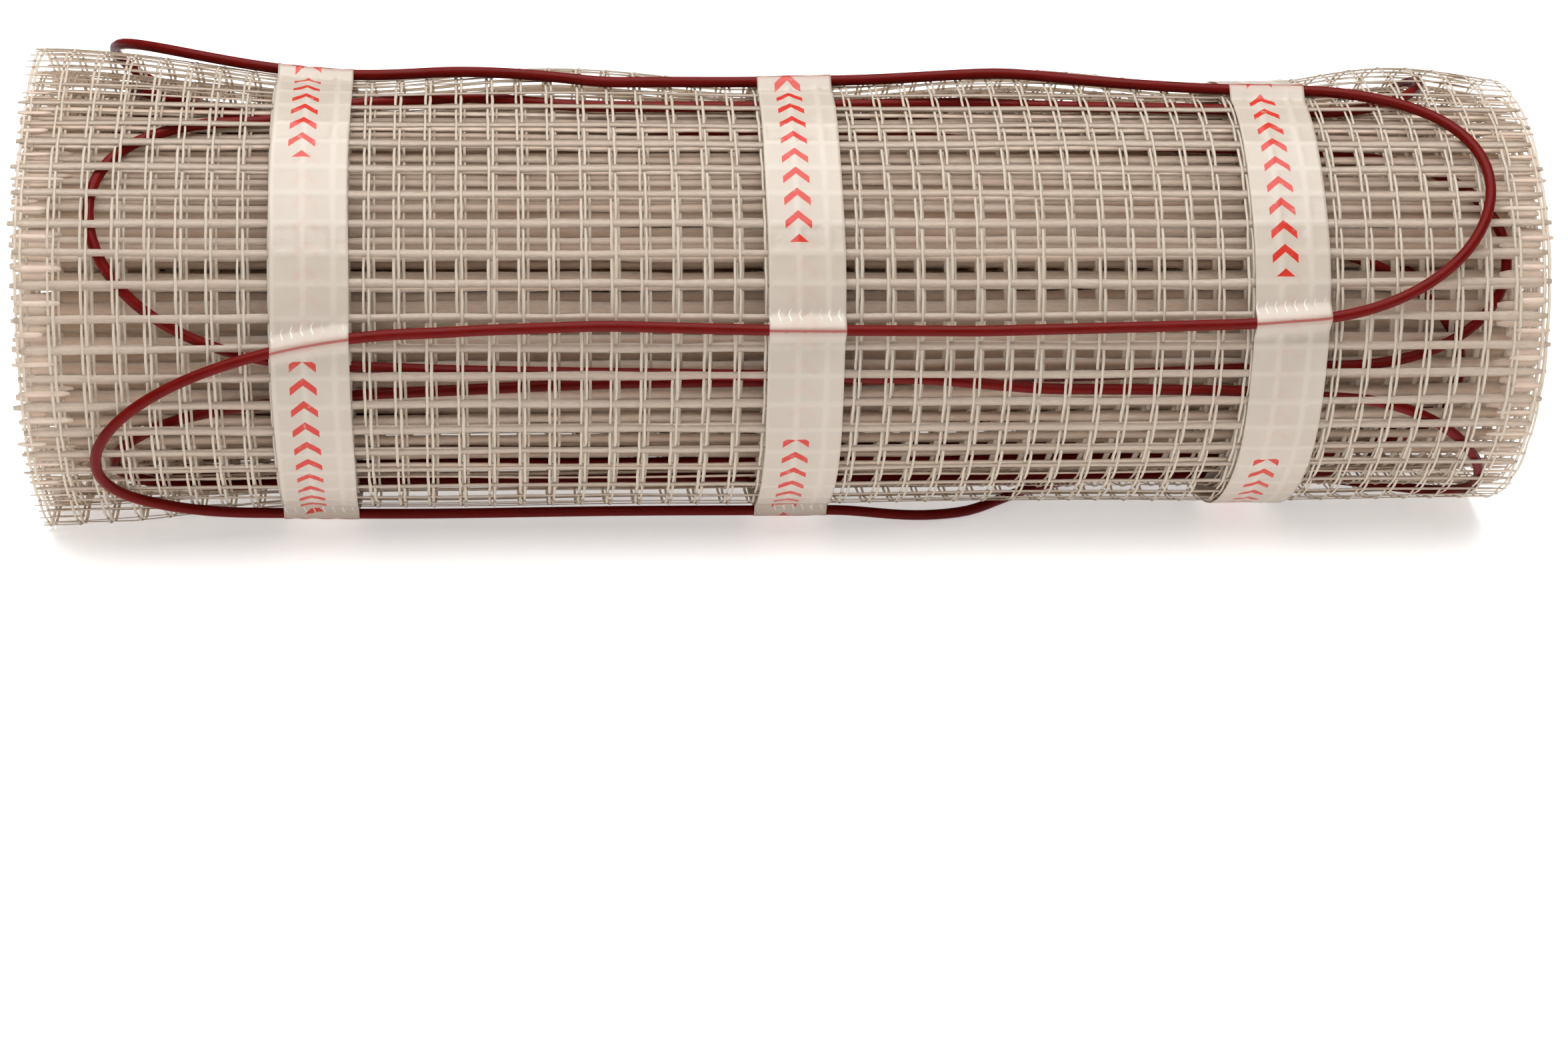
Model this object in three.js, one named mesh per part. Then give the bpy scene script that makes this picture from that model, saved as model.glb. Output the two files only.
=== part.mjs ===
// Underfloor heating mat, rolled up and lying on its side.
// Millimetres. X runs along the roll, the front faces -Y and Z points up.
// The origin is on the floor, under the middle of the whole part.

import * as THREE from "three";

// Roll of glass-fibre mesh
const matWidth = 500;
const rollRadius = 72.5;
const boreRadius = 30;
const turnCount = 9;
const turnWall = 1.5;
const endRelief = 25;
const rollSides = 48;

// Heating cable on the outermost turn
const cableDiameter = 3.6;
const cableSides = 8;
const leftLoopMargin = 22;
const rightLoopMargin = 18;
const leftLoopLength = 112;
const rightLoopLength = 68;
const loopSteps = 16;

// The loop that joins the top run to the back one springs up off the mesh.
const springingLoop = 2;
const springHeight = 2;
const springSharpness = 6;

// The cable's runs in order from the mat's outer end, in degrees round the roll.
// 0 is the front, 90 the top and 180 the back. Loops join them at the left and right in turn.
// A run has its own angle at its left end, at the middle tape and at its right end.
const cableRuns = [
  { left: -62, middle: -61, right: -66 },
  { left: 15, middle: 15, right: 17 },
  { left: 111, middle: 94, right: 88 },
  { left: 158, middle: 158, right: 157 },
  { left: 218, middle: 217, right: 216 },
];
const freeEndMargin = 58;

// Adhesive tapes over the cable
const tapeWidth = 25;
const tapeThickness = 0.5;
const leftTapeInset = 94.5;
const rightTapeInset = 87.5;
const tentTopHalfWidth = 1.6;
const tentFootHalfWidth = 4.8;

// The soft roll swells where no tape holds it: at its left end, between the tapes and at the right.
// Each swell has a rise, and an angle and an arc round the roll in degrees.
const leftSwell = { rise: 11.5, angle: 132, arc: 62 };
const middleSwell = { rise: 4.8, angle: 126, arc: 42 };
const rightSwell = { rise: 5.5, angle: 120, arc: 38 };
// A swell has this many steps along its stretch, starts this far from a tape and fades towards
// the bore with this power of the radius.
const swellSteps = 4;
const tapeMargin = 8;
const swellFade = 4;

// Air between pieces that touch on the real mat
const clearance = 0.3;

const cableRadius = cableDiameter / 2;
const cableLineRadius = rollRadius + clearance + cableRadius;
const tapeInnerRadius = rollRadius + clearance;
const leftTapeX = leftTapeInset - matWidth / 2;
const rightTapeX = matWidth / 2 - rightTapeInset;
const middleTapeX = (leftTapeX + rightTapeX) / 2;
const halfSide = Math.PI / rollSides;

// Stretches of the roll that the tapes leave free, from end to end
const tapeReach = tapeWidth / 2 + tapeMargin;
const freeStretches = [
  [-matWidth / 2, leftTapeX - tapeReach],
  [leftTapeX + tapeReach, middleTapeX - tapeReach],
  [middleTapeX + tapeReach, rightTapeX - tapeReach],
  [rightTapeX + tapeReach, matWidth / 2],
];
const rollStations = freeStretches.flatMap(([from, to]) => {
  const steps = Array.from({ length: swellSteps + 1 }, (_, step) => step / swellSteps);
  return steps.map((share) => THREE.MathUtils.lerp(from, to, share));
});
const swells = freeStretches.map(([from, to], index) => {
  if (index === 0) {
    return { ...leftSwell, x: from, reach: to - from };
  }
  const shape = index === freeStretches.length - 1 ? rightSwell : middleSwell;
  return { ...shape, x: (from + to) / 2, reach: (to - from) / 2 };
});

const materials = {
  mesh: new THREE.MeshStandardMaterial({ color: "#cdc5b6", roughness: 0.75, metalness: 0 }),
  cable: new THREE.MeshStandardMaterial({ color: "#96231c", roughness: 0.4, metalness: 0 }),
  tape: new THREE.MeshStandardMaterial({ color: "#ded5cb", roughness: 0.5, metalness: 0 }),
};

function radians(degrees) {
  return (degrees * Math.PI) / 180;
}

// A point of the roll's round: x along the axis, an angle in radians and a radius.
function rollPoint(x, angle, radius) {
  return new THREE.Vector3(x, -radius * Math.cos(angle), radius * Math.sin(angle));
}

// A smooth hump, 1 in the middle and 0 from a share of 1 out.
function hump(share) {
  return Math.max(0, 1 - share * share) ** 2;
}

function swellAtStation(x, angle) {
  return swells.reduce((sum, { rise, angle: middle, arc, x: centre, reach }) => {
    const offset = wrapped(angle - radians(middle)) / radians(arc);
    return sum + rise * hump((x - centre) / reach) * hump(offset);
  }, 0);
}

// How far the roll swells at x and an angle, straight from one station to the next.
function swellAt(x, angle) {
  const next = Math.max(1, rollStations.findIndex((station) => station >= x));
  const [from, to] = [rollStations[next - 1], rollStations[next]];
  return THREE.MathUtils.mapLinear(x, from, to, swellAtStation(from, angle), swellAtStation(to, angle));
}

// Section of the roll from the axis out: each end steps in between the turns.
function rollSection() {
  const half = matWidth / 2;
  const pitch = (rollRadius - boreRadius - turnWall) / (turnCount - 1);
  const rightEnd = [];
  for (let turn = 0; turn < turnCount; turn += 1) {
    const inner = boreRadius + turn * pitch;
    const outer = inner + turnWall;
    rightEnd.push(new THREE.Vector2(inner, half), new THREE.Vector2(outer, half));
    if (turn < turnCount - 1) {
      rightEnd.push(new THREE.Vector2(outer, half - endRelief));
      rightEnd.push(new THREE.Vector2(inner + pitch, half - endRelief));
    }
  }
  const leftEnd = rightEnd.map((point) => new THREE.Vector2(point.x, -point.y)).reverse();
  const outside = rollStations.slice(1, -1).reverse().map((x) => new THREE.Vector2(rollRadius, x));
  return [...leftEnd, ...rightEnd, ...outside];
}

// The whole roll as one turned solid, with a flat side straight down and its soft swells pushed out.
function meshRoll() {
  const section = rollSection();
  section.push(section[0].clone());
  const roll = new THREE.LatheGeometry(section.reverse(), rollSides, halfSide);
  roll.rotateZ(-Math.PI / 2);
  const places = roll.attributes.position;
  const place = new THREE.Vector3();
  for (let index = 0; index < places.count; index += 1) {
    place.fromBufferAttribute(places, index);
    const radius = Math.hypot(place.y, place.z);
    const angle = Math.atan2(place.z, -place.y);
    const share = ((radius - boreRadius) / (rollRadius - boreRadius)) ** swellFade;
    const pushed = rollPoint(place.x, angle, radius + share * swellAt(place.x, angle));
    places.setXYZ(index, pushed.x, pushed.y, pushed.z);
  }
  roll.computeVertexNormals();
  return roll;
}

// The cable's line on the round of the roll: runs joined by half-ellipse loops.
class CableLine extends THREE.Curve {
  constructor() {
    super();
    this.stations = [];
    cableRuns.forEach((run, index) => this.addRun(run, index));
  }

  addRun(run, index) {
    const goesLeft = index % 2 === 0;
    const isLast = index === cableRuns.length - 1;
    const ends = runEnds();
    const [start, end] = goesLeft ? ends.slice().reverse() : ends;
    const freeEnd = matWidth / 2 - freeEndMargin;
    const from = index === 0 ? (goesLeft ? freeEnd : -freeEnd) : start;
    const to = isLast ? (goesLeft ? -freeEnd : freeEnd) : end;
    const [low, high] = [from, to].sort((a, b) => a - b);
    const between = [...rollStations, middleTapeX].sort((a, b) => a - b).filter((x) => {
      return x > low + cableRadius && x < high - cableRadius;
    });
    const places = [low, ...between, high];
    for (const x of goesLeft ? places.reverse() : places) {
      this.addStation(x, runAngle(run, x), 0);
    }
    if (!isLast) {
      this.addLoop(index, goesLeft);
    }
  }

  addLoop(index, atLeft) {
    const [left, right] = runEnds();
    const startX = atLeft ? left : right;
    const length = atLeft ? -leftLoopLength : rightLoopLength;
    const startAngle = runAngle(cableRuns[index], startX);
    const endAngle = runAngle(cableRuns[index + 1], startX);
    const spring = index === springingLoop ? springHeight : 0;
    for (let step = 1; step < loopSteps; step += 1) {
      const sweep = (step / loopSteps) * Math.PI;
      const x = startX + length * Math.sin(sweep);
      const angle = (startAngle + endAngle) / 2 + ((startAngle - endAngle) / 2) * Math.cos(sweep);
      this.addStation(x, angle, spring * Math.sin(sweep) ** springSharpness);
    }
  }

  // The cable lies on the swells, and lift is what it stands off them.
  addStation(x, angle, lift) {
    this.stations.push({ x, angle, lift: lift + swellAt(x, angle) });
  }

  // The stations are spread on purpose: few on a straight run, many round a loop.
  getUtoTmapping(u) {
    return u;
  }

  getPoint(t, target = new THREE.Vector3()) {
    const place = t * (this.stations.length - 1);
    const index = Math.min(Math.floor(place), this.stations.length - 2);
    const from = this.stations[index];
    const to = this.stations[index + 1];
    const x = THREE.MathUtils.lerp(from.x, to.x, place - index);
    const angle = THREE.MathUtils.lerp(from.angle, to.angle, place - index);
    const lift = THREE.MathUtils.lerp(from.lift, to.lift, place - index);
    return target.copy(rollPoint(x, angle, cableLineRadius + lift));
  }
}

// Where the runs give way to the loops, as x along the roll.
function runEnds() {
  const left = -matWidth / 2 + leftLoopMargin + cableRadius + leftLoopLength;
  const right = matWidth / 2 - rightLoopMargin - cableRadius - rightLoopLength;
  return [left, right];
}

// The angle of a run at x, bent at the middle tape.
function runAngle(run, x) {
  const [left, right] = runEnds();
  const degrees = x < middleTapeX
    ? THREE.MathUtils.mapLinear(x, left, middleTapeX, run.left, run.middle)
    : THREE.MathUtils.mapLinear(x, middleTapeX, right, run.middle, run.right);
  return radians(degrees);
}

// The angle at which a run, or its half of a loop, crosses x.
function crossingAngle(index, x) {
  const [left, right] = runEnds();
  const atLeft = x < left;
  const partner = atLeft === (index % 2 === 0) ? index + 1 : index - 1;
  if ((x >= left && x <= right) || !cableRuns[partner]) {
    return runAngle(cableRuns[index], x);
  }
  const endX = atLeft ? left : right;
  const length = atLeft ? leftLoopLength : rightLoopLength;
  const own = runAngle(cableRuns[index], endX);
  const centre = (own + runAngle(cableRuns[partner], endX)) / 2;
  const share = Math.min(Math.abs(x - endX) / length, 1);
  return centre + (own - centre) * Math.sqrt(1 - share * share);
}

function cableSection() {
  const shape = new THREE.Shape();
  for (let side = 0; side < cableSides; side += 1) {
    const turn = ((side + 0.5) / cableSides) * 2 * Math.PI;
    const point = [cableRadius * Math.cos(turn), cableRadius * Math.sin(turn)];
    side === 0 ? shape.moveTo(...point) : shape.lineTo(...point);
  }
  shape.closePath();
  return shape;
}

function heatingCable() {
  const line = new CableLine();
  return new THREE.ExtrudeGeometry(cableSection(), {
    steps: line.stations.length - 1,
    extrudePath: line,
    curveSegments: 1,
  });
}

// One tape's outline as seen along the roll, raised like a tent over each cable crossing.
function tapeOutline(centreX, baseRadius) {
  const tents = cableRuns.map((run, index) => {
    const edges = [centreX - tapeWidth / 2, centreX + tapeWidth / 2];
    const angles = edges.map((x) => crossingAngle(index, x));
    return { low: Math.min(...angles), high: Math.max(...angles) };
  });
  const top = tentTopHalfWidth / baseRadius;
  const foot = tentFootHalfWidth / baseRadius;
  const tentRadius = baseRadius + cableDiameter + clearance;
  const outline = [];
  for (const { low, high } of tents) {
    outline.push({ angle: low - foot, radius: baseRadius });
    outline.push({ angle: low - top, radius: tentRadius });
    outline.push({ angle: high + top, radius: tentRadius });
    outline.push({ angle: high + foot, radius: baseRadius });
  }
  for (let side = 0; side < rollSides; side += 1) {
    const angle = wrapped((2 * side + 1) * halfSide);
    const underTent = tents.some(({ low, high }) => {
      return insideArc(angle, low - foot - halfSide / 4, high + foot + halfSide / 4);
    });
    if (!underTent) {
      outline.push({ angle, radius: baseRadius });
    }
  }
  outline.forEach((point) => { point.angle = wrapped(point.angle); });
  return outline.sort((a, b) => a.angle - b.angle);
}

// An angle brought into the turn that starts straight behind the roll.
function wrapped(angle) {
  return THREE.MathUtils.euclideanModulo(angle + Math.PI, 2 * Math.PI) - Math.PI;
}

function insideArc(angle, low, high) {
  return THREE.MathUtils.euclideanModulo(angle - low, 2 * Math.PI) <= high - low;
}

function outlinePath(outline) {
  return outline.map(({ angle, radius }) => {
    return new THREE.Vector2(radius * Math.cos(angle), radius * Math.sin(angle));
  });
}

// A band of film round the roll and over the cable.
function tapeBand(centreX) {
  const shape = new THREE.Shape(outlinePath(tapeOutline(centreX, tapeInnerRadius + tapeThickness)));
  shape.holes.push(new THREE.Path(outlinePath(tapeOutline(centreX, tapeInnerRadius))));
  const band = new THREE.ExtrudeGeometry(shape, { depth: tapeWidth, bevelEnabled: false });
  band.translate(0, 0, -tapeWidth / 2);
  const upright = new THREE.Matrix4().makeBasis(
    new THREE.Vector3(0, -1, 0),
    new THREE.Vector3(0, 0, 1),
    new THREE.Vector3(-1, 0, 0),
  );
  band.applyMatrix4(upright);
  return band;
}

function addPiece(group, name, geometry, material, x = 0) {
  const mesh = new THREE.Mesh(geometry, material);
  mesh.name = name;
  mesh.position.x = x;
  group.add(mesh);
}

function buildMat() {
  const mat = new THREE.Group();
  const roll = new THREE.Group();
  addPiece(roll, "mesh_roll", meshRoll(), materials.mesh);
  addPiece(roll, "heating_cable", heatingCable(), materials.cable);
  const tapePlaces = { tape_left: leftTapeX, tape_middle: middleTapeX, tape_right: rightTapeX };
  for (const [name, centreX] of Object.entries(tapePlaces)) {
    addPiece(roll, name, tapeBand(centreX), materials.tape, centreX);
  }
  mat.add(roll);
  const box = new THREE.Box3().setFromObject(mat, true);
  const centre = box.getCenter(new THREE.Vector3());
  roll.position.set(-centre.x, -centre.y, -box.min.z);
  return mat;
}

export default buildMat();
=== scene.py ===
# Looks for the underfloor heating mat: woven glass-fibre mesh, heating cable and tapes.
# Lengths in this file are millimetres until a mesh is made. Angles are degrees round the
# roll: 0 is the front, 90 the top and 180 the back. A place on the rolled-up sheet is x
# along the roll and "turn", which is 0 at the mat's outer end and grows by 1 each time round.

import bpy
import numpy as np
from mathutils import Matrix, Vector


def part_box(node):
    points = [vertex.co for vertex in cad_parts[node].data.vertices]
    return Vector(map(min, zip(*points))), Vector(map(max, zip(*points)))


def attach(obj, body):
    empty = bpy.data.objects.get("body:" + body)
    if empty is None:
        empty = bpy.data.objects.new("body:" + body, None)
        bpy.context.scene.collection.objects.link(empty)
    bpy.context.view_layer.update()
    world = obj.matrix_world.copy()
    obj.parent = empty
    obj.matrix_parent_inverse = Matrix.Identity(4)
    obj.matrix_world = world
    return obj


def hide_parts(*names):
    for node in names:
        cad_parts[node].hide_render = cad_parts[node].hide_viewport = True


MM = 0.001

# The CAD roll's round has this many flat sides, one of them straight down.
ROLL_RADIUS = 72.5
ROLL_SIDES = 48

# The rolled sheet
SEAM_ANGLE = -95.0
TURNS = 9
SHEET_RADIUS = 72.0
TURN_PITCH = 5.125
STEP_SHARE = 0.11
FLOOR_GAP = 0.75
LAYER_FADE = 0.78

# Where the soft sheet stands off the round: x and its half width, angle and its half width, rise
SOFT_SPOTS = [
    (-252.0, 112.0, 132.0, 62.0, 11.5),
    (-252.0, 95.0, -80.0, 38.0, 8.0),
    (-252.0, 60.0, 25.0, 70.0, 1.2),
    (-76.0, 64.0, 126.0, 42.0, 4.8),
    (83.0, 64.0, 126.0, 42.0, 4.8),
    (214.0, 48.0, 120.0, 38.0, 5.5),
    (140.0, 78.0, -92.0, 15.0, -3.0),
]

# Weave
WARP_PAIRS = 51
FIRST_WARP = -246.3
LAST_WARP = 247.7
WEFT_PITCH = 10.0
FIRST_WEFT = 2.4
YARN_SPREAD = 0.86
YARN_RISE = 0.34

# Half the width of the ribbons: on the outer turn, the next one and the deep ones
OUTER_RIBBON = 1.45
NEXT_RIBBON = 1.7
NEXT_RIBBON_BELOW = 1.35
DEEP_RIBBON = 2.1

# The slack inner turns hang askew in the windows of the turns over them. Ribbons between the
# regular ones stand for that from the front's upper half to the back, and at both ends.
HALF_PITCH = 5.0
DENSE_FROM, DENSE_TO = 30, 185
TOP_BACK_FROM, TOP_BACK_TO = 94, 180
END_REACH = 20.0
END_SHORTEST, END_LONGEST = 8, 17

# Cable
CABLE_RADIUS = 1.8
CABLE_LIFT = 2.45
RUN_SPACING = 86.0
LEFT_TIP = -226.2
RIGHT_TIP = 230.2
LOOP_SPRING = 2.0
# Tips of the loops that show under the outer turn, as x and angle: the rest lie halfway
LOOP_TIPS = {
    5: (238.5, 313),
    6: (-226, 406.5),
    7: (222, 472),
    10: (-222.5, 684),
    11: (236.5, 753),
}

# Tapes: node, centre, and the angle at which a printed group starts on the outer turn
TAPES = [
    ("tape_left", -155.5, 7.0),
    ("tape_middle", 3.5, -17.0),
    ("tape_right", 162.5, -26.0),
]
TAPE_WIDTH = 25.0
TAPE_LIFT = 0.78
FILM = 0.12
PRINT_PERIOD = 148.0
PRINT_LENGTH = 80.0

# Camera in the roll's frame, from the roll's axis
CAMERA_PLACE = (-99.2, -1025.1, 460.9)
CAMERA_RIGHT = (0.99594, -0.08297, 0.03486)
CAMERA_UP = (0.00850, 0.47240, 0.88134)
CAMERA_AHEAD = (0.08959, 0.87747, -0.47119)
CAMERA_LENS = 75.25

rng = np.random.default_rng(11)

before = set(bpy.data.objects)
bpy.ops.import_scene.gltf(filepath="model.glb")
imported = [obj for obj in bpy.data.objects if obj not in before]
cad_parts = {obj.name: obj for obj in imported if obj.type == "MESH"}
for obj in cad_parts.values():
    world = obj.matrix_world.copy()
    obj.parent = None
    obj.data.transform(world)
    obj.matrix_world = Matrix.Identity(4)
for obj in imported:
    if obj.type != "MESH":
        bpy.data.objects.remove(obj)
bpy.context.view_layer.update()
low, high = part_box("mesh_roll")
reach_down = ROLL_RADIUS * np.cos(np.pi / ROLL_SIDES)
AXIS_Y = low.y / MM + reach_down
AXIS_Z = low.z / MM + reach_down
HALF_WIDTH = (high.x - low.x) / 2 / MM


def add_camera():
    data = bpy.data.cameras.new("camera")
    data.lens = CAMERA_LENS
    data.sensor_width = 36
    data.clip_start = 0.01
    data.clip_end = 20
    camera = bpy.data.objects.new("camera", data)
    bpy.context.scene.collection.objects.link(camera)
    columns = np.array([CAMERA_RIGHT, CAMERA_UP, [-v for v in CAMERA_AHEAD]]).T
    place = (np.array(CAMERA_PLACE) + (0, AXIS_Y, AXIS_Z)) * MM
    matrix = np.eye(4)
    matrix[:3, :3] = columns
    matrix[:3, 3] = place
    camera.matrix_world = Matrix(matrix.tolist())
    bpy.context.scene.camera = camera


# The sheet's shape


def ease(share):
    share = np.clip(share, 0, 1)
    return share * share * (3 - 2 * share)


def spiral_radius(turn):
    inside = np.floor(turn)
    step = ease((turn - inside - (1 - STEP_SHARE)) / STEP_SHARE)
    return SHEET_RADIUS - TURN_PITCH * (inside + step)


def bump(distance, half):
    share = np.clip(np.abs(distance) / half, 0, 1)
    return (1 - share**2) ** 2


def looseness(x, turn):
    angle = SEAM_ANGLE + 360 * turn
    rise = 0
    for depth in range(6):
        for centre_x, half_x, centre, half, height in SOFT_SPOTS:
            shape = bump(x - centre_x, half_x) * bump(angle - centre - 360 * depth, half)
            rise = rise + height * LAYER_FADE**depth * shape
    ripple = 0.22 * np.sin(x / 23 + 9 * turn) + 0.18 * np.sin(x / 41 - 31 * turn)
    return rise + ripple


def drift(turn):
    """How far the sheet has slipped along the roll, so that its warps lie beside the outer ones."""
    turns = [0.9, 1.2, 1.9, 2.3, 2.9, 3.3, 4.5, 6, 9]
    return np.interp(turn, turns, [0, 1.3, 1.3, 0.3, 0.5, 1.1, 0.9, 0.4, 0.8])


def sheet_point(x, turn, lift):
    """Points on the sheet, lifted off its middle surface, and the outward direction there."""
    x, turn, lift = np.broadcast_arrays(x, turn, lift)
    angle = np.radians(SEAM_ANGLE + 360 * turn)
    outward = np.stack([np.zeros_like(angle), -np.cos(angle), np.sin(angle)], -1)
    radius = spiral_radius(turn) + looseness(x, turn)
    height = AXIS_Z + radius * outward[..., 2]
    lowest = FLOOR_GAP + np.maximum(-outward[..., 2], 0) * np.maximum(lift, 0)
    place = np.stack([x, AXIS_Y + radius * outward[..., 1], np.maximum(height, lowest)], -1)
    return place + lift[..., None] * outward, outward


turn_table = np.linspace(0, TURNS, 9001)
table_step = turn_table[1] - turn_table[0]
table_radius = spiral_radius((turn_table[1:] + turn_table[:-1]) / 2)
length_table = np.concatenate([[0], np.cumsum(table_radius * 2 * np.pi * table_step)])
SHEET_LENGTH = length_table[-1]


def turn_at(length):
    return np.interp(length, length_table, turn_table)


def length_at(turn):
    return np.interp(turn, turn_table, length_table)


def turn_of_angle(angle):
    return (angle - SEAM_ANGLE) / 360


def wander(rows, along, size, scale):
    """A smooth random wander of each row, as a sum of sines."""
    total = 0
    for octave in range(3):
        phase = rng.uniform(0, 2 * np.pi, (rows, 1))
        pace = rng.uniform(0.7, 1.3, (rows, 1)) * (1 + octave) / scale
        total = total + np.sin(along * pace + phase) / (1 + octave)
    return total * size / 1.8


# Meshes


class Shape:
    """Vertices, faces and texture places gathered for one piece."""

    def __init__(self):
        self.points = []
        self.corners = []
        self.counts = []
        self.places = []
        self.total = 0

    def add(self, points, faces, places):
        self.points.append(points.reshape(-1, 3))
        self.corners.append((faces + self.total).ravel())
        self.counts.append(np.full(len(faces), faces.shape[1]))
        self.places.append(places.reshape(-1, 2))
        self.total += self.points[-1].shape[0]

    def add_faces(self, faces, places):
        """More faces on the vertices that were added last."""
        self.corners.append((faces + self.total - self.points[-1].shape[0]).ravel())
        self.counts.append(np.full(len(faces), faces.shape[1]))
        self.places.append(places.reshape(-1, 2))

    def build(self, name, material):
        mesh = bpy.data.meshes.new(name)
        points = np.concatenate(self.points) * MM
        corners = np.concatenate(self.corners)
        counts = np.concatenate(self.counts)
        mesh.vertices.add(len(points))
        mesh.vertices.foreach_set("co", points.ravel())
        mesh.loops.add(len(corners))
        mesh.loops.foreach_set("vertex_index", corners)
        mesh.polygons.add(len(counts))
        mesh.polygons.foreach_set("loop_start", np.concatenate([[0], np.cumsum(counts)[:-1]]))
        mesh.polygons.foreach_set("use_smooth", np.ones(len(counts), bool))
        uv = mesh.uv_layers.new(name="place")
        uv.data.foreach_set("uv", np.concatenate(self.places).ravel())
        mesh.update(calc_edges=True)
        mesh.validate()
        mesh.materials.append(material)
        piece = bpy.data.objects.new(name, mesh)
        bpy.context.scene.collection.objects.link(piece)
        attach(piece, "root")
        return piece


def unit(vectors):
    return vectors / np.linalg.norm(vectors, axis=-1, keepdims=True)


def add_strands(shape, paths, outward, half_width, half_height, sides=4):
    """Closed strands along paths (strand, step, xyz), each with a section that has that many sides."""
    rows, steps, _ = paths.shape
    ahead = unit(np.gradient(paths, axis=1))
    across = unit(np.cross(outward, ahead))
    upright = np.cross(ahead, across)
    turn = np.arange(sides) * 2 * np.pi / sides
    half_width = np.broadcast_to(half_width, (rows, steps))[..., None, None]
    half_height = np.broadcast_to(half_height, (rows, steps))[..., None, None]
    ring = across[:, :, None] * np.cos(turn)[:, None] * half_width
    ring = ring + upright[:, :, None] * np.sin(turn)[:, None] * half_height
    points = paths[:, :, None] + ring
    index = np.arange(rows * steps * sides).reshape(rows, steps, sides)
    after = np.roll(index, -1, axis=2)
    quads = np.stack([index[:, :-1], after[:, :-1], after[:, 1:], index[:, 1:]], -1)
    along = np.linalg.norm(np.diff(paths, axis=1), axis=-1).cumsum(axis=1)
    along = np.concatenate([np.zeros((rows, 1)), along], axis=1) / 100
    along = along + rng.uniform(0, 40, (rows, 1))
    near = np.broadcast_to(along[:, :-1, None], (rows, steps - 1, sides))
    far = np.broadcast_to(along[:, 1:, None], (rows, steps - 1, sides))
    side = np.broadcast_to(np.arange(sides) / sides, (rows, steps - 1, sides))
    next_side = side + 1 / sides
    corners = [(near, side), (near, next_side), (far, next_side), (far, side)]
    places = np.stack([np.stack(corner, -1) for corner in corners], -2)
    shape.add(points, quads.reshape(-1, 4), places)
    starts = index[:, 0, ::-1].reshape(-1, sides)
    ends = index[:, -1].reshape(-1, sides)
    for caps in (starts, ends):
        shape.add_faces(caps, np.full((caps.size, 2), 0.5))


# The woven mesh


def warp_places():
    return np.linspace(FIRST_WARP, LAST_WARP, WARP_PAIRS)


def weft_lengths():
    count = int((SHEET_LENGTH - FIRST_WEFT) // WEFT_PITCH) + 1
    return FIRST_WEFT + WEFT_PITCH * np.arange(count)


weft_shift = rng.uniform(-0.7, 0.7, len(weft_lengths()))
warp_shift = rng.uniform(-0.3, 0.3, WARP_PAIRS)


def add_yarn_pairs(shape, first, last, step):
    """The two yarns of each warp pair, which go over and under the wefts in turn."""
    length = np.arange(first, last + step / 2, step)
    turn = turn_at(length)
    phase = np.pi * (length - FIRST_WEFT) / WEFT_PITCH
    pinch = 1 - 0.16 * np.cos(phase) ** 2
    over = np.cos(phase)
    centre = (warp_places() + warp_shift)[:, None] + drift(turn)
    centre = centre + wander(WARP_PAIRS, length, 0.3, 60.0)
    spread = YARN_SPREAD * (1 + wander(WARP_PAIRS, length, 0.18, 17.0))
    for side in (1, -1):
        x = centre + side * spread * pinch
        lift = side * YARN_RISE * over + wander(WARP_PAIRS, length, 0.06, 9.0)
        paths, outward = sheet_point(x, turn, lift)
        half_width = 0.46 * (1 + wander(WARP_PAIRS, length, 0.2, 7.0))
        add_strands(shape, paths, outward, half_width, 0.2)


def add_plain_warps(shape, first, last, step):
    """Deep turns, where a pair of yarns looks like one flat strand."""
    length = np.arange(first, last + step / 2, step)
    turn = turn_at(length)
    x = (warp_places() + warp_shift)[:, None] + drift(turn)
    x = x + wander(WARP_PAIRS, length, 0.5, 60.0)
    paths, outward = sheet_point(x, turn, wander(WARP_PAIRS, length, 0.1, 30.0))
    half_width = 0.95 + wander(WARP_PAIRS, length, 0.2, 12.0)
    add_strands(shape, paths, outward, half_width, 0.22)


def add_wefts(shape, chosen, step, wide, offset=0.0, end=0):
    """Flat ribbons across the mat, or only over its left (-1) or right (1) end."""
    rows = len(chosen)
    count = int((END_REACH if end else 2 * HALF_WIDTH) / step) + 1
    share = np.linspace(-1, 1, count)[None, :]
    left = -HALF_WIDTH + rng.uniform(0.2, 2.6, (rows, 1))
    right = HALF_WIDTH - rng.uniform(0.2, 2.6, (rows, 1))
    if end > 0:
        left = right - rng.uniform(END_SHORTEST, END_LONGEST, (rows, 1))
    if end < 0:
        right = left + rng.uniform(END_SHORTEST, END_LONGEST, (rows, 1))
    x = (left + right) / 2 + share * (right - left) / 2
    length = (weft_lengths() + weft_shift + offset)[chosen][:, None]
    length = length + wander(rows, x, 0.35, 45.0) + wander(rows, x, 0.1, 8.0)
    length = np.clip(length, 0.5, SHEET_LENGTH - 0.5)
    lift = wander(rows, x, 0.08, 14.0)
    paths, outward = sheet_point(x, turn_at(length), lift)
    half_width = wide * rng.uniform(0.8, 1.2, (rows, 1)) * (1 + wander(rows, x, 0.16, 11.0))
    half_width = half_width * (0.55 + 0.45 * np.clip((1 - np.abs(share)) * 60, 0, 1))
    add_strands(shape, paths, outward, half_width, 0.17)


# The heating cable


def run_angle(x, places, angles):
    return np.interp(x, places, angles)


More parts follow.
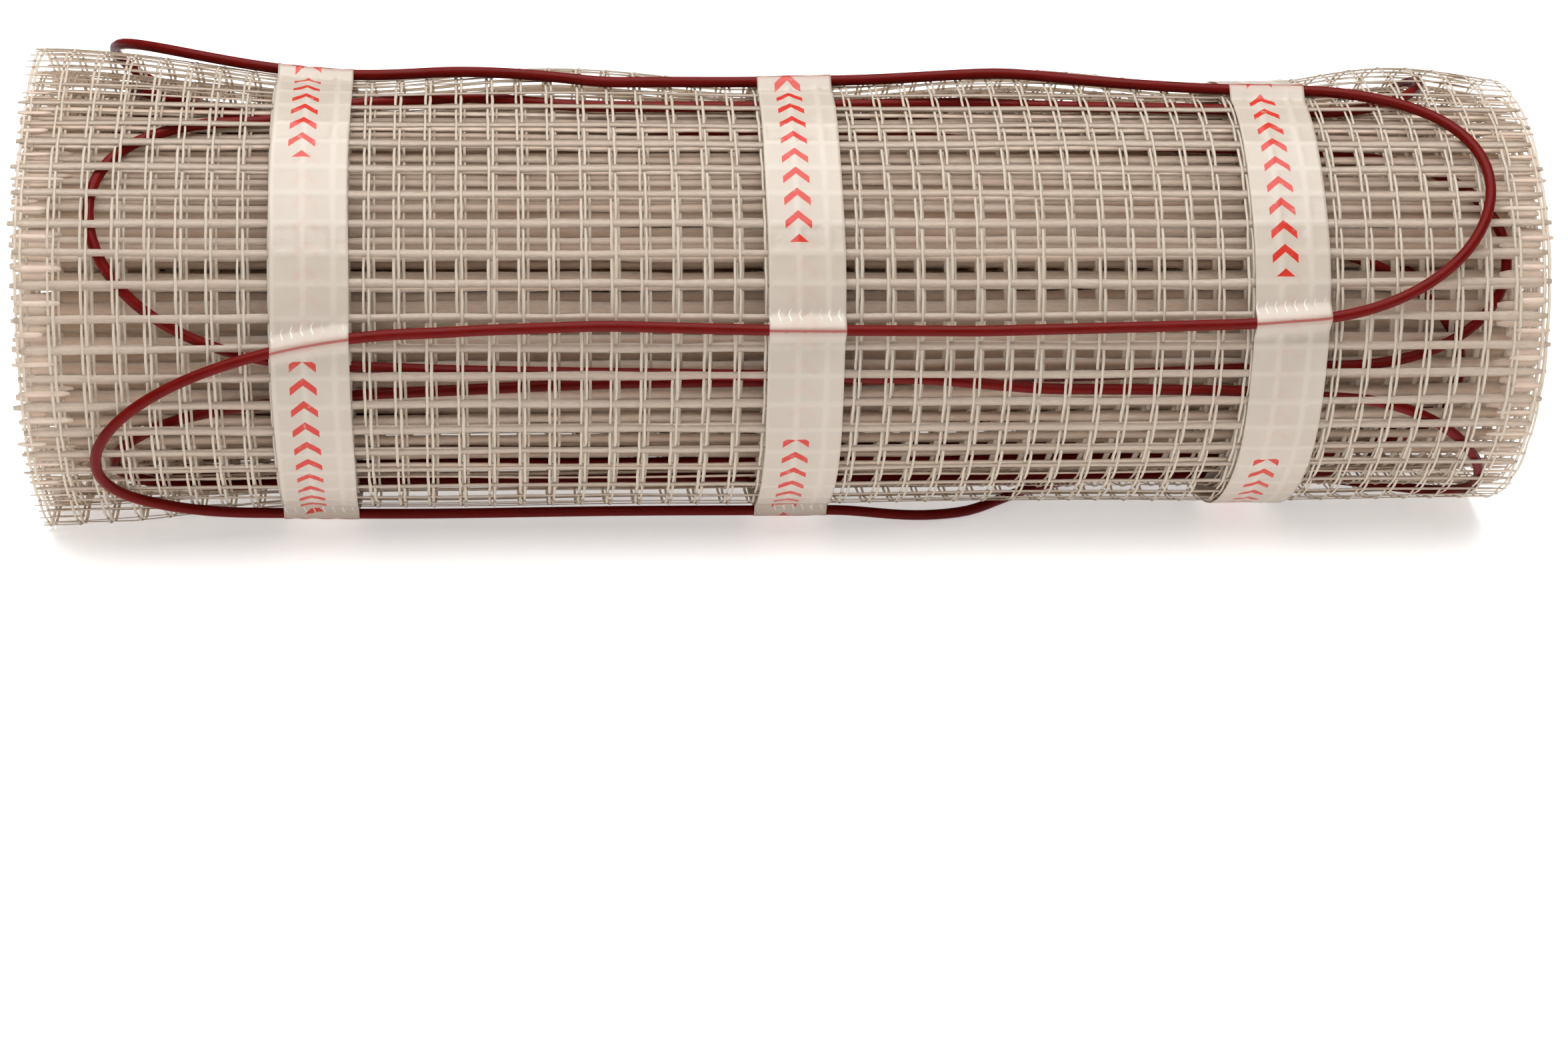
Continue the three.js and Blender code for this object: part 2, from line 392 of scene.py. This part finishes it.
def cable_runs():
    """Each run as its ends and its angle at some x: first those that show, then evenly spaced ones."""
    runs = [
        ([-114, 4, 30, 52, 68, 92, 125, 192], [-62, -61, -63.5, -66.5, -69.5, -83, -92, -92]),
        ([-114, -106, -62, -10, 60, 150, 162], [14.5, 15, 16.2, 15, 14.5, 16.2, 17]),
        ([-114, -60, 17, 74, 106, 151, 162], [103, 92, 97, 100, 95, 90.5, 90]),
        ([-114, 4, 162], [158, 158, 157]),
        ([-114, 4, 162], [218, 217, 216]),
        ([-114, 4, 90, 162], [274, 276, 276, 274]),
        ([-150, -114, 18, 43, 81, 122, 150, 180], [364.8, 363.5, 360.8, 360.3, 357.2, 356.6, 356, 353.7]),
        ([-181, -169, -143, -106, -69, -10, 59, 99, 178], [437.6, 438, 448, 453, 447, 447, 450.6, 448, 444]),
        ([-114, 4, 162], [515, 518, 520]),
        ([-114, 4, 162], [585, 583, 583]),
        ([-114, 4, 162], [648, 648, 650]),
        ([-160, -141, -60, 63, 94, 150, 185], [711, 714, 717, 718.5, 718.8, 721.3, 721.9]),
        ([-136, -102, -52, 18, 41, 78, 152, 188], [804, 805, 802, 798, 798.5, 793.5, 792.3, 788.5]),
        ([-114, 4, 162], [874, 876, 873]),
        ([-114, 4, 162], [950, 952, 950]),
        ([-114, 4, 162], [1028, 1030, 1032]),
        ([-123, -49, 70, 151], [1118.6, 1117.9, 1119.8, 1120.7]),
    ]
    length = length_at(turn_of_angle(runs[-1][1][-1])) + RUN_SPACING
    while length < SHEET_LENGTH - 20:
        angle = SEAM_ANGLE + 360 * turn_at(length)
        runs.append(([-114, 4, 162], angle + rng.uniform(-3, 3, 3)))
        length += RUN_SPACING
    return runs


def cable_route():
    """The whole cable as stations of x, turn and lift off the sheet."""
    runs = cable_runs()
    stations = []
    for index, (places, angles) in enumerate(runs):
        goes_left = index % 2 == 0
        ends = [places[-1], places[0]] if goes_left else [places[0], places[-1]]
        for x in np.linspace(*ends, 140):
            lift = 2.6 * bump(x - 52, 34) if index == 0 else 0
            stations.append((x, run_angle(x, places, angles), lift))
        if index < len(runs) - 1:
            side = 0 if goes_left else -1
            before = (places[side], angles[side])
            after = (runs[index + 1][0][side], runs[index + 1][1][side])
            stations += loop_stations(index, before, after)
    route = np.array(stations)
    route[:, 1] = turn_of_angle(route[:, 1])
    return smoothed(route)


def loop_stations(index, before, after):
    """A loop of two quarter ellipses from one run's end over the tip to the next run's end."""
    middle = (before[1] + after[1]) / 2
    usual = LEFT_TIP if index % 2 == 0 else RIGHT_TIP
    inside = usual + np.sign(usual) * rng.uniform(-9, 2)
    tip_x, tip_angle = LOOP_TIPS.get(index, (usual if index < 5 else inside, middle))
    spring = LOOP_SPRING if index == 2 else 0
    stations = []
    for sweep in np.linspace(0, np.pi, 90)[1:-1]:
        end_x, end_angle = before if sweep < np.pi / 2 else after
        x = end_x + (tip_x - end_x) * np.sin(sweep)
        angle = tip_angle + (end_angle - tip_angle) * abs(np.cos(sweep))
        stations.append((x, angle, spring * np.sin(sweep) ** 6))
    return stations


def smoothed(route):
    """Stations every 4 mm along the cable, with sharp bends eased."""
    mm = np.stack([route[:, 0], length_at(route[:, 1])], -1)
    along = np.concatenate([[0], np.cumsum(np.linalg.norm(np.diff(mm, axis=0), axis=1))])
    fine = np.arange(0, along[-1], 1.0)
    path = np.stack([np.interp(fine, along, column) for column in (*mm.T, route[:, 2])], -1)
    window = np.hanning(23)
    window /= window.sum()
    padded = np.pad(path, ((11, 11), (0, 0)), mode="edge")
    eased = np.stack([np.convolve(column, window, mode="valid") for column in padded.T], -1)
    return eased[::4]


def add_cable(shape, route):
    x, length, lift = route.T
    turn = turn_at(length)
    lift = lift + CABLE_LIFT + 0.12 * np.sin(length / 19)
    paths, outward = sheet_point(x + drift(turn) * 0.5, turn, lift)
    paths[:, 2] = np.maximum(paths[:, 2], CABLE_RADIUS + 0.1)
    ahead = unit(np.gradient(paths, axis=0))
    outward = unit(outward - ahead * np.sum(outward * ahead, -1, keepdims=True))
    add_strands(shape, paths[None], outward[None], CABLE_RADIUS, CABLE_RADIUS, sides=10)


# The tapes


def crossings(route, x):
    """Where the cable crosses x, as lengths along the sheet."""
    along_x = route[:, 0]
    hits = np.nonzero((along_x[:-1] - x) * (along_x[1:] - x) <= 0)[0]
    share = (x - along_x[hits]) / (along_x[hits + 1] - along_x[hits] + 1e-9)
    return route[hits, 1] + share * (route[hits + 1, 1] - route[hits, 1])


def nearest(values, targets):
    """Signed distance from each value to the nearest target."""
    gaps = values[:, None] - targets[None, :]
    pick = np.abs(gaps).argmin(axis=1)
    return gaps[np.arange(len(values)), pick]


def tent(distance):
    raw = 4.72 - 0.98 * np.sqrt(distance**2 + 1.0)
    return 0.5 * (raw + np.sqrt(raw**2 + 0.12))


def tape_lift(x, length, route):
    """Height of the film over the sheet, with its distances from cable and strands."""
    contact = np.stack([nearest(length, crossings(route, value)) for value in x], 0)
    to_warp = nearest(x, warp_places() + warp_shift)[:, None]
    to_weft = nearest(length, weft_lengths() + weft_shift)[None, :]
    over_warp = np.exp(-((to_warp / 1.25) ** 2))
    over_weft = np.exp(-((to_weft / 1.2) ** 2))
    relief = np.maximum(over_warp, over_weft)
    crease = np.exp(-(((np.abs(contact) - 4.2) / 2.4) ** 2))
    waves = np.sin(x[:, None] / 0.62 + 1.7 * np.sin(length / 5)) * np.sin(x[:, None] / 2.3)
    sag = 0.12 * np.sin(x[:, None] / 4.1 + length / 13) * np.sin(length / 29)
    free = 1 - np.clip(tent(contact) / 2, 0, 1)
    lift = TAPE_LIFT + tent(contact) + (0.26 * relief + sag) * free + 0.22 * crease * waves
    return lift, contact, relief * free


def add_band(shape, x, length, lift, extra, start):
    """A closed film over a grid of x and length. Extra numbers per point go along with it."""
    columns, rows = len(x), len(length)
    turn = turn_at(length)[None, :]
    edge = 0.25 * np.sin(length / 37) + 0.15 * np.sin(length / 11)
    place_x = x[:, None] + edge[None, :]
    outer, _ = sheet_point(place_x, turn, lift)
    inner, _ = sheet_point(place_x, turn, lift - FILM)
    lowest = 0.12
    outer[..., 2] = np.maximum(outer[..., 2], lowest)
    inner[..., 2] = np.maximum(inner[..., 2], lowest + FILM)
    points = np.stack([outer, inner])
    index = np.arange(2 * columns * rows).reshape(2, columns, rows)
    top, under = index
    quads = [
        np.stack([top[:-1, :-1], top[:-1, 1:], top[1:, 1:], top[1:, :-1]], -1),
        np.stack([under[:-1, :-1], under[1:, :-1], under[1:, 1:], under[:-1, 1:]], -1),
        np.stack([top[:-1, 0], top[1:, 0], under[1:, 0], under[:-1, 0]], -1),
        np.stack([top[1:, -1], top[:-1, -1], under[:-1, -1], under[1:, -1]], -1),
        np.stack([top[0, 1:], top[0, :-1], under[0, :-1], under[0, 1:]], -1),
        np.stack([top[-1, :-1], top[-1, 1:], under[-1, 1:], under[-1, :-1]], -1),
    ]
    faces = np.concatenate([quad.reshape(-1, 4) for quad in quads])
    film_x, film_y = np.meshgrid((x - x.mean()) / 100, (length - start) / 100, indexing="ij")
    place = np.stack([film_x, film_y], -1).reshape(-1, 2)
    places = np.concatenate([place, place])[faces]
    shape.add(points, faces, places)
    return [np.concatenate([values.ravel(), values.ravel()]) for values in extra]


def tape_piece(name, node, centre, print_angle, route, material):
    shape = Shape()
    start = length_at(turn_of_angle(print_angle)) - PRINT_LENGTH
    outer_end = length_at(1.04)
    x = np.linspace(centre - TAPE_WIDTH / 2, centre + TAPE_WIDTH / 2, 27)
    length = np.arange(1.5, outer_end, 1.2)
    lift, contact, relief = tape_lift(x, length, route)
    outer = add_band(shape, x, length, lift, (contact, relief), start)
    x = np.linspace(x[0], x[-1], 4)
    length = np.append(np.arange(length[-1] + 1.0, SHEET_LENGTH - 2, 5.0), SHEET_LENGTH - 2)
    lift, contact, relief = tape_lift(x, length, route)
    lift = np.minimum(lift, TURN_PITCH - 1.2)
    inner = add_band(shape, x, length, lift, (contact, relief), start)
    piece = shape.build(name, material)
    for label, parts in zip(("contact", "relief"), zip(outer, inner)):
        attribute = piece.data.attributes.new(label, "FLOAT", "POINT")
        attribute.data.foreach_set("value", np.concatenate(parts).astype(np.float32))
    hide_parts(node)


# Materials


class Nodes:
    """A material's node tree with short calls for the nodes that are used here."""

    def __init__(self, name):
        self.material = bpy.data.materials.new(name)
        self.material.use_nodes = True
        self.tree = self.material.node_tree
        self.principled = self.tree.nodes["Principled BSDF"]
        self.output = self.tree.nodes["Material Output"]

    def link(self, source, target):
        self.tree.links.new(source, target)

    def add(self, kind, **settings):
        node = self.tree.nodes.new(kind)
        for key, value in settings.items():
            setattr(node, key, value)
        return node

    def put(self, value, socket):
        if isinstance(value, bpy.types.NodeSocket):
            self.link(value, socket)
        else:
            socket.default_value = value

    def math(self, operation, first, second=0.0, third=0.0):
        node = self.add("ShaderNodeMath", operation=operation)
        for value, socket in zip((first, second, third), node.inputs):
            self.put(value, socket)
        return node.outputs[0]

    def spread(self, value, from_low, from_high, to_low, to_high):
        node = self.add("ShaderNodeMapRange", interpolation_type="SMOOTHSTEP")
        for item, socket in zip((value, from_low, from_high, to_low, to_high), node.inputs):
            self.put(item, socket)
        return node.outputs[0]

    def noise(self, place, scale, detail=3.0, roughness=0.5):
        node = self.add("ShaderNodeTexNoise")
        self.link(place, node.inputs["Vector"])
        node.inputs["Scale"].default_value = scale
        node.inputs["Detail"].default_value = detail
        node.inputs["Roughness"].default_value = roughness
        return node.outputs["Fac"]

    def stretched(self, scale, socket="UV"):
        source = self.add("ShaderNodeTexCoord").outputs[socket]
        node = self.add("ShaderNodeMapping")
        self.link(source, node.inputs["Vector"])
        node.inputs["Scale"].default_value = scale
        return node.outputs["Vector"]

    def mix(self, factor, first, second):
        node = self.add("ShaderNodeMix", data_type="RGBA")
        self.put(factor, node.inputs[0])
        self.put(first, node.inputs[6])
        self.put(second, node.inputs[7])
        return node.outputs[2]

    def bump(self, height, strength, distance):
        node = self.add("ShaderNodeBump")
        self.link(height, node.inputs["Height"])
        node.inputs["Strength"].default_value = strength
        node.inputs["Distance"].default_value = distance
        self.link(node.outputs["Normal"], self.principled.inputs["Normal"])
        return node.outputs["Normal"]

    def attribute(self, name):
        return self.add("ShaderNodeAttribute", attribute_name=name).outputs["Fac"]

    def let_light_through(self, share, colour, normal=None):
        """Mixes in a shader that shows the light from behind."""
        through = self.add("ShaderNodeBsdfTranslucent")
        self.put(colour, through.inputs["Color"])
        if normal is not None:
            self.link(normal, through.inputs["Normal"])
        mixer = self.add("ShaderNodeMixShader")
        mixer.inputs[0].default_value = share
        self.link(self.principled.outputs[0], mixer.inputs[1])
        self.link(through.outputs[0], mixer.inputs[2])
        self.link(mixer.outputs[0], self.output.inputs["Surface"])


def rgb(red, green, blue):
    """A linear colour from the usual 0 to 255 numbers."""
    values = np.array([red, green, blue]) / 255
    linear = np.where(values <= 0.04045, values / 12.92, ((values + 0.055) / 1.055) ** 2.4)
    return (*linear.tolist(), 1.0)


# Fibre colours: dull and bright streaks, and the tint of some strands. All three are one glass fibre: the
# warps are lighter than the outer wefts as painted sheen, and the deep turns are painted lighter and pinker,
# as painted light and a painted red reflection of the cable.
WARP_TONES_WITH_SHEEN = (rgb(236, 226, 210), rgb(255, 252, 245), rgb(244, 233, 215))
WEFT_TONES = (rgb(166, 151, 138), rgb(234, 223, 210), rgb(188, 168, 155))
DEEP_TONES_PAINTED_LIGHT = (rgb(212, 191, 175), rgb(252, 243, 231), rgb(222, 194, 179))
# Painted shade along the parting in the middle of each warp yarn, and its colour
WARP_PARTING_SHADE = 0.5
PARTING_SHADE_COLOUR = rgb(150, 134, 118)


def fibre_material(name, dull, bright, tint, groove_shade=0.0):
    """Bundles of glass filaments: pale, streaked along their length and a little see-through.

    The last argument sets how dark the painted shade is along the parting that runs along the middle of each
    strand.
    """
    nodes = Nodes(name)
    separate = nodes.add("ShaderNodeSeparateXYZ")
    nodes.link(nodes.add("ShaderNodeTexCoord").outputs["UV"], separate.inputs[0])
    half_round = nodes.math("FLOORED_MODULO", separate.outputs[1], 0.5)
    from_ridge = nodes.math("ABSOLUTE", nodes.math("SUBTRACT", half_round, 0.25))
    # Painted shade: a dark line along the top and bottom ridge of each strand
    parting_shade = nodes.spread(from_ridge, 0.01, 0.08, groove_shade, 0.0)
    streaks = nodes.noise(nodes.stretched((12.0, 9.0, 1.0)), 3.0, 5.0, 0.65)
    strand = nodes.noise(nodes.stretched((0.9, 0.3, 1.0)), 1.0, 1.0)
    pale = nodes.mix(nodes.spread(streaks, 0.25, 0.75, 0.0, 1.0), dull, bright)
    tinted = nodes.mix(nodes.spread(strand, 0.35, 0.65, 0.0, 0.4), pale, tint)
    colour = nodes.mix(parting_shade, tinted, PARTING_SHADE_COLOUR)
    nodes.link(colour, nodes.principled.inputs["Base Color"])
    nodes.principled.inputs["Roughness"].default_value = 0.42
    nodes.principled.inputs["IOR"].default_value = 1.5
    normal = nodes.bump(streaks, 0.5, 0.0002)
    nodes.let_light_through(0.48, rgb(252, 240, 224), normal)
    return nodes.material


def cable_material():
    """Smooth dark red sheath with a satin skin, faint die lines along it and small scuffs."""
    nodes = Nodes("cable_sheath")
    lines = nodes.noise(nodes.stretched((1.5, 16.0, 1.0)), 2.5, 3.0)
    mottle = nodes.noise(nodes.stretched((1.0, 1.0, 1.0), "Object"), 160.0, 4.0)
    red = nodes.mix(mottle, rgb(84, 5, 2), rgb(108, 12, 6))
    nodes.link(red, nodes.principled.inputs["Base Color"])
    nodes.link(nodes.spread(mottle, 0.3, 0.75, 0.3, 0.46), nodes.principled.inputs["Roughness"])
    nodes.principled.inputs["IOR"].default_value = 1.5
    nodes.principled.inputs["Specular IOR Level"].default_value = 0.1
    nodes.bump(nodes.math("ADD", lines, nodes.math("MULTIPLY", mottle, 0.5)), 0.18, 0.0003)
    return nodes.material


def printed_marks(nodes, across, along):
    """Plain chevrons in a row along the tape, in groups."""
    group = nodes.math("FLOORED_MODULO", along, PRINT_PERIOD)
    inside = nodes.math("LESS_THAN", group, PRINT_LENGTH)
    side = nodes.math("ABSOLUTE", across)
    slant = nodes.math("MULTIPLY_ADD", side, 0.85, group)
    beat = nodes.math("FLOORED_MODULO", slant, 8.0)
    stripe = nodes.math("LESS_THAN", beat, 2.7)
    narrow = nodes.math("LESS_THAN", side, 4.3)
    return nodes.math("MULTIPLY", nodes.math("MULTIPLY", stripe, narrow), inside)


def crease_highlights(nodes, across, cloud):
    """Painted highlights: short wavy white lines where the film is creased, a little above each cable."""
    above = nodes.attribute("contact")
    starts = nodes.spread(above, 2.6, 3.4, 0.0, 1.0)
    stops = nodes.spread(above, 5.6, 7.2, 1.0, 0.0)
    wave = nodes.math("SINE", nodes.math("MULTIPLY", above, 1.6))
    sway = nodes.math("MULTIPLY_ADD", wave, 0.3, across)
    beat = nodes.math("FLOORED_MODULO", nodes.math("MULTIPLY_ADD", cloud, 3.0, sway), 3.2)
    from_line = nodes.math("ABSOLUTE", nodes.math("SUBTRACT", beat, 1.6))
    line = nodes.spread(from_line, 0.12, 0.3, 0.8, 0.0)
    here = nodes.spread(cloud, 0.42, 0.52, 0.0, 1.0)
    band = nodes.math("MULTIPLY", starts, stops)
    return nodes.math("MULTIPLY", nodes.math("MULTIPLY", line, band), here)


def tape_material():
    """Milky adhesive film: glossy, with the strands below pressed into it, a worn red print and painted
    highlights on its creases.
    """
    nodes = Nodes("tape_film")
    separate = nodes.add("ShaderNodeSeparateXYZ")
    nodes.link(nodes.add("ShaderNodeTexCoord").outputs["UV"], separate.inputs[0])
    across = nodes.math("MULTIPLY_ADD", separate.outputs[0], 100.0, 2.4)
    along = nodes.math("MULTIPLY", separate.outputs[1], 100.0)
    relief = nodes.attribute("relief")
    contact = nodes.math("ABSOLUTE", nodes.attribute("contact"))
    cloud = nodes.noise(nodes.stretched((3.0, 3.0, 3.0), "Object"), 14.0, 4.0)
    film = nodes.mix(cloud, rgb(198, 185, 170), rgb(217, 206, 193))
    film = nodes.mix(nodes.spread(relief, 0.25, 0.9, 0.0, 0.25), film, rgb(240, 232, 220))
    marks = printed_marks(nodes, across, along)
    ghost_along = nodes.math("ADD", along, 64.0)
    ghost = printed_marks(nodes, nodes.math("ADD", across, -1.4), ghost_along)
    film = nodes.mix(nodes.math("MULTIPLY", ghost, 0.08), film, rgb(225, 120, 110))
    wear = nodes.noise(nodes.stretched((1.0, 1.0, 1.0), "Object"), 420.0, 3.0)
    ink = nodes.math("MULTIPLY", marks, nodes.spread(wear, 0.25, 0.42, 0.55, 1.0))
    film = nodes.mix(ink, film, rgb(214, 52, 38))
    # Painted highlights on the creases above each cable
    film = nodes.mix(crease_highlights(nodes, across, cloud), film, rgb(252, 248, 242))
    near_cable = nodes.spread(contact, 0.9, 2.4, 0.22, 0.0)
    film = nodes.mix(near_cable, film, rgb(176, 96, 88))
    line = nodes.spread(contact, 0.25, 0.6, 0.75, 0.0)
    film = nodes.mix(line, film, rgb(178, 52, 50))
    nodes.link(film, nodes.principled.inputs["Base Color"])
    nodes.principled.inputs["Roughness"].default_value = 0.24
    nodes.principled.inputs["IOR"].default_value = 1.5
    crinkle = nodes.noise(nodes.stretched((1.0, 1.0, 1.0), "Object"), 260.0, 4.0, 0.6)
    normal = nodes.bump(crinkle, 0.22, 0.0006)
    nodes.let_light_through(0.3, rgb(238, 228, 216), normal)
    return nodes.material


def floor_material():
    nodes = Nodes("pale_floor")
    grain = nodes.noise(nodes.stretched((1.0, 1.0, 1.0), "Object"), 40.0)
    nodes.link(
        nodes.mix(grain, (0.9, 0.9, 0.9, 1), (0.94, 0.94, 0.94, 1)),
        nodes.principled.inputs["Base Color"],
    )
    nodes.principled.inputs["Roughness"].default_value = 0.7
    nodes.principled.inputs["Specular IOR Level"].default_value = 0.2
    nodes.principled.inputs["Emission Color"].default_value = (1, 1, 1, 1)
    nodes.principled.inputs["Emission Strength"].default_value = 0.46
    return nodes.material


# Studio


def add_floor():
    mesh = bpy.data.meshes.new("floor")
    reach = 6.0
    mesh.from_pydata(
        [(-reach, -reach, 0), (reach, -reach, 0), (reach, reach, 0), (-reach, reach, 0)],
        [],
        [(0, 1, 2, 3)],
    )
    mesh.materials.append(floor_material())
    floor = bpy.data.objects.new("floor", mesh)
    bpy.context.scene.collection.objects.link(floor)


def add_area_light(name, place, target, size, energy):
    data = bpy.data.lights.new(name, "AREA")
    data.size = size
    data.energy = energy
    light = bpy.data.objects.new(name, data)
    bpy.context.scene.collection.objects.link(light)
    ahead = unit(np.array(target, float) - np.array(place, float))
    right = unit(np.cross(ahead, (0, 0, 1)))
    up = np.cross(right, ahead)
    matrix = np.eye(4)
    matrix[:3, :3] = np.array([right, up, -ahead]).T
    matrix[:3, 3] = place
    light.matrix_world = Matrix(matrix.tolist())


def add_studio():
    world = bpy.data.worlds.new("studio")
    world.use_nodes = True
    background = world.node_tree.nodes["Background"]
    background.inputs["Color"].default_value = (1, 1, 1, 1)
    background.inputs["Strength"].default_value = 0.2
    bpy.context.scene.world = world
    add_area_light("top_light", (-0.1, -0.1, 2.2), (0, 0, 0.07), 2.6, 95)
    bpy.context.scene.cycles.diffuse_bounces = 6
    bpy.context.scene.cycles.max_bounces = 12
    bpy.context.scene.view_settings.view_transform = "Standard"


def mesh_piece(name, fill, material):
    shape = Shape()
    fill(shape)
    piece = shape.build(name, material)
    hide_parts("mesh_roll")


def fibres():
    """The materials of the warps, the outer wefts and the wefts on deeper turns: one glass fibre, with
    painted sheen on the warps and painted light on the deeper turns.
    """
    # Painted sheen: the warps' tones are lighter than the outer wefts'
    warp = fibre_material("warp_fibre_sheen_and_shade", *WARP_TONES_WITH_SHEEN, WARP_PARTING_SHADE)
    weft = fibre_material("weft_fibre", *WEFT_TONES)
    # Painted light: the deeper turns' fibre is painted lighter and pinker than the outer wefts
    deep = fibre_material("deep_fibre_painted_light", *DEEP_TONES_PAINTED_LIGHT)
    return warp, weft, deep


def build_mesh():
    warp_fibre_sheen_and_shade, weft_fibre, deep_fibre_painted_light = fibres()
    first_turn = length_at(1.0)
    second_turn = length_at(2.0)
    wefts = np.arange(len(weft_lengths()))
    layer = np.digitize(weft_lengths(), [first_turn, second_turn])
    angle = (SEAM_ANGLE + 360 * turn_at(weft_lengths())) % 360
    dense = (angle > DENSE_FROM) & (angle < DENSE_TO)
    top_back = (angle > TOP_BACK_FROM) & (angle < TOP_BACK_TO)

    def outer_warps(shape):
        add_yarn_pairs(shape, 0.5, first_turn, 2.5)

    def inner_warps(shape):
        add_yarn_pairs(shape, first_turn, second_turn, 5.0)
        add_plain_warps(shape, second_turn, SHEET_LENGTH - 1, 10.0)

    def outer_wefts(shape):
        add_wefts(shape, wefts[layer == 0], 6.0, OUTER_RIBBON)
        add_wefts(shape, wefts[(layer == 0) & top_back], 6.0, 1.6, HALF_PITCH)

    def inner_wefts(shape):
        add_wefts(shape, wefts[(layer == 1) & dense], 6.0, NEXT_RIBBON)
        add_wefts(shape, wefts[(layer == 1) & ~dense], 6.0, NEXT_RIBBON_BELOW)
        add_wefts(shape, wefts[layer == 2], 11.0, DEEP_RIBBON)

    def slack_wefts(shape):
        add_wefts(shape, wefts[(layer == 1) & dense], 7.0, 1.5, HALF_PITCH)
        add_wefts(shape, wefts[(layer == 2) & dense], 11.0, 1.8, HALF_PITCH)
        for end in (-1, 1):
            add_wefts(shape, wefts[layer == 0], 4.0, 1.0, HALF_PITCH, end)
            add_wefts(shape, wefts[layer == 1], 4.0, 1.3, 3.3, end)
            add_wefts(shape, wefts[layer == 1], 4.0, 1.3, 6.7, end)

    mesh_piece("mesh_outer_warps", outer_warps, warp_fibre_sheen_and_shade)
    mesh_piece("mesh_inner_warps", inner_warps, warp_fibre_sheen_and_shade)
    mesh_piece("mesh_outer_wefts", outer_wefts, weft_fibre)
    mesh_piece("mesh_inner_wefts", inner_wefts, deep_fibre_painted_light)
    mesh_piece("mesh_slack_wefts", slack_wefts, deep_fibre_painted_light)


def build_cable(route):
    shape = Shape()
    add_cable(shape, route)
    cable = shape.build("cable_run", cable_material())
    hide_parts("heating_cable")


def build_mat():
    build_mesh()
    route = cable_route()
    build_cable(route)
    film = tape_material()
    for node, centre, print_angle in TAPES:
        tape_piece(f"{node}_film", node, centre, print_angle, route, film)


add_camera()
build_mat()
add_floor()
add_studio()
